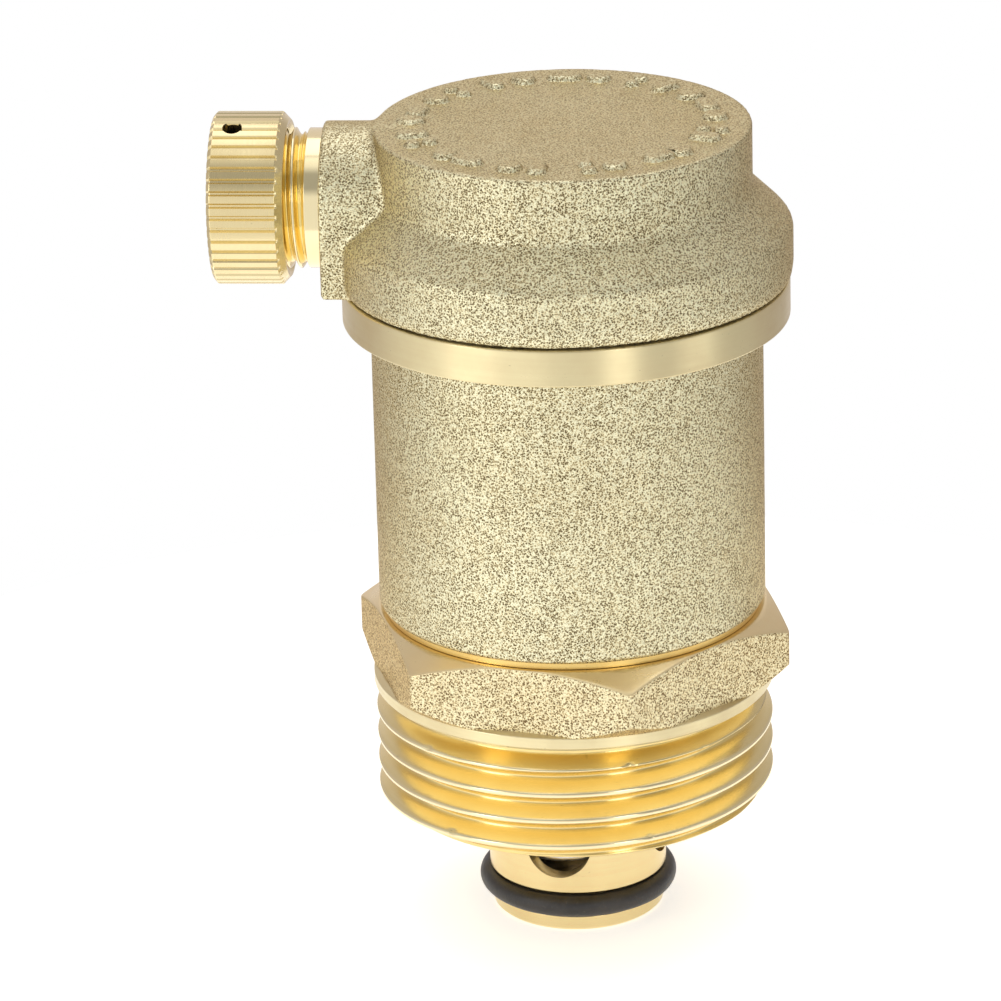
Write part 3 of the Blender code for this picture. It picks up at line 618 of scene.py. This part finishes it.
BONNET_OUT = [(-1, 40.45), (14.6, 40.45), (14.6, 45.6), (18.05, 45.6), (18.27, 46.0), (18.37, 46.7), (18.37, 49.45)]
BONNET_OUT += [(18.27, 49.8), (17.95, 50.2), (15.9, 52.2), (15.4, 52.75), (15.18, 53.2), (15.1, 53.8), (15.1, 58.1)]
BONNET_OUT += [(-1, 58.1)]
BONNET_ROUND = 0.25
BOSS_FACE, BOSS_R, RIM_Z = 19.5, 6.28, 45.35


def mark_height(x, y):
    """Raised marks round the top's edge: plain dots, pads and bars, not letters."""
    radius, turn = np.hypot(x, y), np.arctan2(y, x)
    height = np.zeros_like(x)
    count = 25
    for k in range(count):
        at = TAU * (k + 0.5) / count + 0.05 * math.sin(3.1 * k)
        across = (turn - at + math.pi) % TAU - math.pi
        u, v = across * 10.4, (radius - 12.4) / 1.2
        kind = k * 7 % 5
        if kind == 0:
            away = np.hypot(u, v) - 0.85
        elif kind == 1:
            away = np.hypot(u, np.maximum(np.abs(v) - 0.5, 0)) - 0.6
        elif kind == 2:
            away = np.hypot(np.maximum(np.abs(u) - 0.5, 0), v) - 0.68
        elif kind == 3:
            away = np.hypot(u, np.abs(v) - 0.62) - 0.5
        else:
            away = np.hypot(u, v / 1.2) - 0.82
        height = np.maximum(height, 0.42 * smooth_step(0.5 - away / 0.3))
    return height


def bonnet_distance(p):
    """Signed distance of the bonnet with its outlet boss, in mm, with cast fillets."""
    radius = np.hypot(p[:, 0], p[:, 1])
    z = p[:, 2]
    on_top = smooth_step((z - 57.0) / 0.6) * (radius < 14.8)
    raised = mark_height(p[:, 0], p[:, 1]) * on_top
    dome = polygon_distance(np.stack([radius, z - raised], -1), BONNET_OUT) - BONNET_ROUND
    across, up = np.abs(p[:, 1]), z - OUTLET_Z
    arch = np.where(up > 0, np.hypot(across, up), across) - BOSS_R
    side = np.maximum(arch, RIM_Z - z)
    ends = np.maximum(-BOSS_FACE - p[:, 0], p[:, 0] + 11.5)
    boss = -smooth_min(-side, -ends, 0.3)
    outer = smooth_min(dome, boss, 0.5)
    cavity = np.maximum(radius - 12.8, np.maximum(z - 56.0, 39.0 - z))
    spout = np.hypot(p[:, 1], z - OUTLET_Z)
    hole = np.maximum(spout - np.where(p[:, 0] > -13.05, 3.85, 5.0), p[:, 0] + 9.0)
    return np.maximum(outer, -np.minimum(cavity, hole))


def bonnet_casting():
    """A remeshed union of the dome and the boss, pulled onto the smooth shape."""
    skin = [(r + BONNET_ROUND * (r > 0), z + (BONNET_ROUND if z > 58 else 0)) for r, z in BONNET_OUT[1:-1]]
    cavity = [(0.0, 56.0), (12.8, 56.0), (12.8, 40.2)]
    dome = spun(np.array([(12.8, 40.2), *skin[0:], (0.0, 58.35), *cavity[:2]]), 160)
    verts = dome.reshape(-1, 3).tolist()
    faces = grid_faces(*dome.shape[:2], True, True).tolist()
    arch = [(BOSS_R * math.cos(t), OUTLET_Z + BOSS_R * math.sin(t)) for t in np.linspace(0, math.pi, 25)]
    arch += [(-BOSS_R, RIM_Z), (BOSS_R, RIM_Z)]
    start, count = len(verts), len(arch)
    verts += [(-BOSS_FACE, y, z) for y, z in arch] + [(-13.5, y, z) for y, z in arch]
    faces += [[start + i, start + (i + 1) % count, start + count + (i + 1) % count, start + count + i]
              for i in range(count)]
    faces += [[start + i for i in range(count)], [start + count + i for i in reversed(range(count))]]
    piece = make_piece("bonnet_casting", verts, faces, CAST, HOUSING, ("bonnet",))
    remesh = piece.modifiers.new("remesh", "REMESH")
    remesh.mode = "VOXEL"
    remesh.voxel_size = 0.32 * MM
    bpy.context.view_layer.update()
    apply_modifiers(piece)
    mesh = piece.data
    bm = bmesh.new()
    bm.from_mesh(mesh)
    for _ in range(2):
        marked = [e for e in bm.edges if all(v.co.z > 57.4 * MM and abs(v.co.xy.length - 12.4 * MM) < 1.7 * MM
                                             for v in e.verts)]
        bmesh.ops.subdivide_edges(bm, edges=marked, cuts=1, use_grid_fill=True)
    bm.to_mesh(mesh)
    bm.free()
    points = np.zeros(len(mesh.vertices) * 3)
    mesh.vertices.foreach_get("co", points)
    points = points.reshape(-1, 3) / MM
    step = 0.02
    for _ in range(4):
        value = bonnet_distance(points)
        slope = np.stack([bonnet_distance(points + np.eye(3)[k] * step) - value for k in range(3)], -1) / step
        length = np.maximum((slope * slope).sum(1, keepdims=True), 0.2)
        move = -value[:, None] * slope / length
        points += np.clip(move, -0.3, 0.3)
    mesh.vertices.foreach_set("co", (points * MM).ravel())
    mesh.update()
    mesh.shade_smooth()
    slope = np.stack([bonnet_distance(points + np.eye(3)[k] * step) - bonnet_distance(points - np.eye(3)[k] * step)
                      for k in range(3)], -1)
    slope /= np.maximum(np.linalg.norm(slope, axis=1, keepdims=True), 1e-9)
    mesh.normals_split_custom_set_from_vertices(slope.tolist())
    return piece


# ---------------------------------------------------------------- outlet and cap


def outlet_nipple():
    steps = 256

    def shape(radius, z, turn):
        radius = np.minimum(radius, 5.17 + np.maximum(0, (z - 21.0) * 1.6))
        return np.minimum(radius, 4.95 + np.maximum(0, 25.0 - z) * 1.3)

    profile = ridge(1.0, 5.17, 5.75, 0.16, 0.035)
    crest = profile[np.argmax(profile[:, 1]), 0]
    wall = thread_grid(profile, 1.0, 21.6 - crest, 20.95, 25.0, shape, steps)
    back = open_outline([(4.95, 25.0), (3.1, 25.0, 0.2), (3.1, 13.2), (5.0, 13.2), (5.0, 17.0), (5.72, 17.0),
                         (5.72, 20.7, 0.06), (5.17, 20.95)], 0.3)
    inner = spun(back, steps)
    inner = np.concatenate([inner, inner[:, :1]], 1)
    grid = to_outlet(np.concatenate([wall, inner]))
    faces = grid_faces(*grid.shape[:2], True, False)
    make_piece("outlet_nipple", grid, faces, OUTLET, HOUSING)


def vent_cap():
    """The knurled cap: straight ridges whose ends fade into the chamfers, and a threaded bore."""
    ridges, steps = 44, 44 * 14
    back, end = 22.35, 28.5
    line = dense_outline([(6.15, back), (6.42, back, 0.08), (7.05, 22.95, 0.12), (7.05, 28.22, 0.16), (6.72, end, 0.12),
                          (0.0, end)], 0.2)
    line = line[: np.argmin(np.abs(line[:, 0])) + 1]
    grid = spun(line, steps)
    turn = np.arange(steps) / steps * TAU
    wave = np.cos(ridges * turn)
    groove = smooth_step((-0.25 - wave) / 0.7)
    depth = 0.25 * smooth_step((line[:, 1] - 22.78) / 0.2) * (line[:, 0] > 6.55)
    scale = 1 - depth[:, None] * groove[None] / np.maximum(line[:, :1], 1)
    grid[..., 0] *= scale
    grid[..., 1] *= scale
    rim = np.clip(line[:, 0] / 6.7, 0, 1)
    grid[..., 2] -= (0.05 * (1 - rim) * (line[:, 1] > end - 0.001))[:, None]
    inner = open_outline([(0.0, 27.5), (5.95, 27.5, 0.1), (5.95, 25.8, 0.05), (5.87, 25.7)], 0.3)
    profile = ridge(1.0, 5.87, 5.29, 0.14, 0.03)
    crest = profile[np.argmin(profile[:, 1]), 0]
    low, high = 22.6, 25.7

    def shape(radius, z, turn):
        return np.maximum(radius, 5.87 - np.maximum(0, np.minimum(z - low, high - z)) * 1.2)

    wall = thread_grid(profile, 1.0, 22.1 - crest, low, high, shape, 256)[::-1]
    mouth = spun(np.array([(5.87, low)]), 256)
    tube = spun(inner, 256)
    tube = np.concatenate([tube, tube[:, :1]], 1)
    mouth = np.concatenate([mouth, mouth[:, :1]], 1)
    inside = np.concatenate([tube, wall, mouth])
    outside_faces = grid_faces(*grid.shape[:2], False, True)
    inside_faces = grid_faces(*inside.shape[:2], False, False) + grid.size // 3
    lip = bridge(steps, grid.size // 3 + (inside.shape[0] - 1) * inside.shape[1], 256)
    points = np.concatenate([grid.reshape(-1, 3), inside.reshape(-1, 3)])
    faces = outside_faces.tolist() + inside_faces.tolist() + lip
    piece = make_piece("vent_cap_knurled", to_outlet(points), faces, CAP, "cap", ("vent_cap",))
    lean = math.radians(18.7)
    across, up = -math.sin(lean), math.cos(lean)
    hole = rod_cutter("cap_hole_cutter", 0.8, (-26.65, 4.5 * across, OUTLET_Z + 4.5 * up),
                      (-26.65, 9 * across, OUTLET_Z + 9 * up), 40)
    cut_out(piece, [hole])
    return piece


def bridge(outer_count, inner_start, inner_count):
    """Triangles between the outer ring, vertices 0 on, and an inner ring of another count."""
    faces, i, j = [], 0, 0
    while i < outer_count or j < inner_count:
        if j >= inner_count or (i < outer_count and (i + 1) / outer_count <= (j + 1) / inner_count):
            faces.append([i % outer_count, (i + 1) % outer_count, inner_start + j])
            i += 1
        else:
            faces.append([i % outer_count, inner_start + j, inner_start + j + 1])
            j += 1
    return faces


# ---------------------------------------------------------------- spool


def spool_pieces():
    low, high = SPOOL_LOW.z / MM, SPOOL_HIGH.z / MM
    corners = [(0.0, low), (6.92, low, 0.08), (7.2, low + 0.28, 0.08), (7.2, -9.05, 0.08), (6.35, -9.05, 0.06)]
    corners += [(6.35, -6.8, 0.06), (7.47, -6.8, 0.12), (7.47, 8.15, 0.1), (8.9, 8.15, 0.12), (8.9, high, 0.12)]
    corners += [(6.0, high, 0.15), (6.0, -7.6, 0.3), (0.0, -7.6)]
    piece = turned_piece("spool_turned", corners, 256, SPOOL, "spool", ("spool",), step=0.8)
    cutters = []
    for i in range(2):
        turn = math.radians(-9.5 + 90 * i)
        side, ahead = math.sin(turn) * 12, -math.cos(turn) * 12
        cutters.append(rod_cutter(f"window_cutter_{i}", 2.8, (-side, -ahead, -2.6), (side, ahead, -2.6), 72))
    cut_out(piece, cutters)


def spool_seal():
    """The O-ring, with its mould line and a slightly uneven wire."""
    steps, sides = 360, 48
    turn = np.arange(steps) / steps * TAU
    around = np.arange(sides) / sides * TAU
    wire = 0.98 * (1 - 0.008 * (1 + np.sin(5 * turn + 1)))
    line = 1 + 0.012 * np.exp(-(((around - math.pi / 2 + math.pi) % TAU - math.pi) / 0.1) ** 2) - 0.012
    r = 7.36 + wire[:, None] * line[None] * np.cos(around)[None]
    z = -7.92 + wire[:, None] * line[None] * np.sin(around)[None]
    grid = np.stack([r * np.cos(turn)[:, None], r * np.sin(turn)[:, None], z], -1)
    make_piece("spool_seal", grid, grid_faces(steps, sides, True, True), RUBBER, "spool",
               ("spool_o_ring",))


def spool_coil():
    turns, per, sides, wire, ring = 11, 60, 14, 0.4, 5.3
    t = np.arange(turns * per + 1) / per
    closed = 2.1 * wire
    low, high = -7.5 + wire, 18.5 - wire
    z = low + closed * (np.minimum(t, 1) + np.maximum(t - turns + 1, 0))
    z = z + (high - low - 2 * closed) * np.clip((t - 1) / (turns - 2), 0, 1)
    around = np.arange(sides) / sides * TAU
    r = ring + wire * np.cos(around)[None]
    angle = (TAU * t)[:, None]
    grid = np.stack([r * np.cos(angle), r * np.sin(angle), z[:, None] + wire * np.sin(around)[None]], -1)
    faces = grid_faces(len(t), sides, False, True).tolist()
    faces += [list(range(sides)), [grid.size // 3 - 1 - i for i in range(sides)]]
    piece = make_piece("spool_coil", grid, faces, SPRING, HOUSING, ("spool_spring",))
    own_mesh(piece)


def dress_inner_nodes():
    looks = {
        "tail_gasket": FIBRE, "bonnet_o_ring": RUBBER, "vent_nozzle": OUTLET, "nozzle_washer": COPPER,
        "cap_seal_pad": RUBBER, "lever_bracket": STEEL, "bracket_screw_1": STEEL, "bracket_screw_2": STEEL,
        "lever_pivot_pin": STEEL, "lever": STEEL, "seat_pad": RUBBER, "float": PLASTIC, "float_stem": STEEL,
    }
    for node, material in looks.items():
        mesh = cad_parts[node].data
        mesh.materials.clear()
        mesh.materials.append(material)


# ---------------------------------------------------------------- studio


def make_floor():
    """A plain pale round table that melts into the white studio behind it."""
    s = Shading("studio_floor")
    cloud = s.noise(0.004, 2.0, 0.5)
    s.set(Base_Color=s.mix(cloud, (0.90, 0.90, 0.90), (0.92, 0.92, 0.92)), Roughness=0.6, Specular_IOR_Level=0.2)
    s.set(Emission_Color=(1, 1, 1, 1), Emission_Strength=0.55)
    radii = np.array([0.0, 10, 20, 40, 60, 90])
    grid = spun(np.stack([radii, 0 * radii + cad_box[0].z / MM - 0.02], -1), 96)
    mesh = bpy.data.meshes.new("floor")
    faces = grid_faces(len(radii), 96, False, True).tolist()
    mesh.from_pydata((grid.reshape(-1, 3) * MM).tolist(), [], faces)
    floor = bpy.data.objects.new("floor", mesh)
    bpy.context.scene.collection.objects.link(floor)
    mesh.materials.append(s.material)


def add_softbox(name, azimuth, elevation, distance, width, height, power, aim=(0, 0, 0.025)):
    """An area light seen from the part at that azimuth and elevation. Azimuth 0 is the camera's side."""
    a, e = math.radians(azimuth), math.radians(elevation)
    towards = Vector((math.sin(a) * math.cos(e), -math.cos(a) * math.cos(e), math.sin(e)))
    data = bpy.data.lights.new(name, "AREA")
    data.shape = "RECTANGLE"
    data.size, data.size_y = width, height
    data.energy = power
    light = bpy.data.objects.new(name, data)
    light.location = Vector(aim) + towards * distance
    light.rotation_mode = "QUATERNION"
    light.rotation_quaternion = towards.to_track_quat("Z", "Y")
    light.visible_camera = False
    bpy.context.scene.collection.objects.link(light)


WALLS = [(-180, 0.74), (-164, 0.72), (-150, 0.55), (-116, 0.55), (-84, 0.84), (-66, 1.0), (-60, 1.3), (-42, 1.3)]
WALLS += [(-34, 1.05), (-16, 1.0), (-8, 0.80), (16, 0.72), (22, 1.25), (31, 1.25), (36, 0.60), (56, 0.54)]
WALLS += [(62, 0.95), (74, 0.95), (84, 0.52), (130, 0.47), (150, 0.50), (166, 0.70), (180, 0.74)]


def make_studio():
    """White walls with darker gaps on the camera's side, plus softboxes. The camera sees plain white."""
    world = bpy.data.worlds.new("studio")
    bpy.context.scene.world = world
    world.use_nodes = True
    nodes, links = world.node_tree.nodes, world.node_tree.links
    parts = nodes.new("ShaderNodeSeparateXYZ")
    links.new(nodes.new("ShaderNodeTexCoord").outputs["Generated"], parts.inputs[0])
    turned = nodes.new("ShaderNodeMath")
    turned.operation = "ARCTAN2"
    back = nodes.new("ShaderNodeMath")
    back.operation = "MULTIPLY"
    back.inputs[1].default_value = -1
    links.new(parts.outputs["Y"], back.inputs[0])
    links.new(parts.outputs["X"], turned.inputs[0])
    links.new(back.outputs[0], turned.inputs[1])
    spread = nodes.new("ShaderNodeMapRange")
    spread.inputs["From Min"].default_value = -math.pi
    spread.inputs["From Max"].default_value = math.pi
    links.new(turned.outputs[0], spread.inputs["Value"])
    walls = nodes.new("ShaderNodeValToRGB")
    elements = walls.color_ramp.elements
    while len(elements) < len(WALLS):
        elements.new(0.5)
    for element, (azimuth, level) in zip(elements, WALLS):
        element.position = min(1, max(0, (azimuth + 4.77 + 180) / 360))
        green, blue = (0.925, 0.92) if abs(azimuth) > 90 else (0.985, 0.97)
        element.color = (level, level * green, level * blue, 1)
    links.new(spread.outputs["Result"], walls.inputs["Fac"])
    heights = nodes.new("ShaderNodeValToRGB")
    while len(heights.color_ramp.elements) < 4:
        heights.color_ramp.elements.new(0.5)
    for element, (at, share) in zip(heights.color_ramp.elements, ((0.66, 0), (0.76, 0.66), (0.92, 0.66), (0.97, 0))):
        element.position = at
        element.color = (share, share, share, 1)
    upward = nodes.new("ShaderNodeMapRange")
    upward.inputs["From Min"].default_value = -1
    links.new(parts.outputs["Z"], upward.inputs["Value"])
    links.new(upward.outputs["Result"], heights.inputs["Fac"])
    frontal = nodes.new("ShaderNodeMapRange")
    frontal.inputs["From Min"].default_value = 0.15
    frontal.inputs["From Max"].default_value = -0.25
    links.new(parts.outputs["Y"], frontal.inputs["Value"])
    shade = nodes.new("ShaderNodeMath")
    shade.operation = "MULTIPLY"
    links.new(heights.outputs["Color"], shade.inputs[0])
    links.new(frontal.outputs["Result"], shade.inputs[1])
    ceiling = nodes.new("ShaderNodeMix")
    ceiling.data_type = "RGBA"
    links.new(shade.outputs[0], ceiling.inputs["Factor"])
    links.new(walls.outputs["Color"], ceiling.inputs[6])
    ceiling.inputs[7].default_value = (0.14, 0.14, 0.14, 1)
    seen = nodes.new("ShaderNodeMix")
    seen.data_type = "RGBA"
    links.new(nodes.new("ShaderNodeLightPath").outputs["Is Camera Ray"], seen.inputs["Factor"])
    links.new(ceiling.outputs[2], seen.inputs[6])
    seen.inputs[7].default_value = (1, 1, 1, 1)
    links.new(seen.outputs[2], nodes["Background"].inputs["Color"])
    add_softbox("softbox_left", -50, 22, 0.62, 0.16, 0.24, 0.30)
    add_softbox("softbox_right", 30, 22, 0.62, 0.12, 0.24, 0.22)
    add_softbox("softbox_top", 175, 70, 0.70, 0.70, 0.50, 1.0)


def make_camera():
    """At the photograph's angle: 21 degrees down, turned a little, and rolled by its tilt."""
    elevation, azimuth, roll = math.radians(21.015), math.radians(4.77), math.radians(-1.492)
    forward = Vector((0, math.cos(elevation), -math.sin(elevation)))
    right, up = Vector((1, 0, 0)), Vector((0, math.sin(elevation), math.cos(elevation)))
    x_axis = math.cos(roll) * right + math.sin(roll) * up
    y_axis = -math.sin(roll) * right + math.cos(roll) * up
    turn = Matrix((x_axis, y_axis, -forward)).transposed().to_4x4()
    data = bpy.data.cameras.new("camera")
    data.lens, data.sensor_width = 209.89, 36
    data.clip_start, data.clip_end = 0.01, 20
    camera = bpy.data.objects.new("camera", data)
    bpy.context.scene.collection.objects.link(camera)
    camera.matrix_world = Matrix.Translation((0.03179, -0.45087, 0.19941)) @ Matrix.Rotation(azimuth, 4, "Z") @ turn
    bpy.context.scene.camera = camera


base_thread()
base_hexagon()
base_collar()
body_pieces()
bonnet_casting()
outlet_nipple()
vent_cap()
spool_pieces()
spool_seal()
spool_coil()
dress_inner_nodes()
make_floor()
make_studio()
make_camera()
bpy.context.scene.view_settings.view_transform = "Standard"
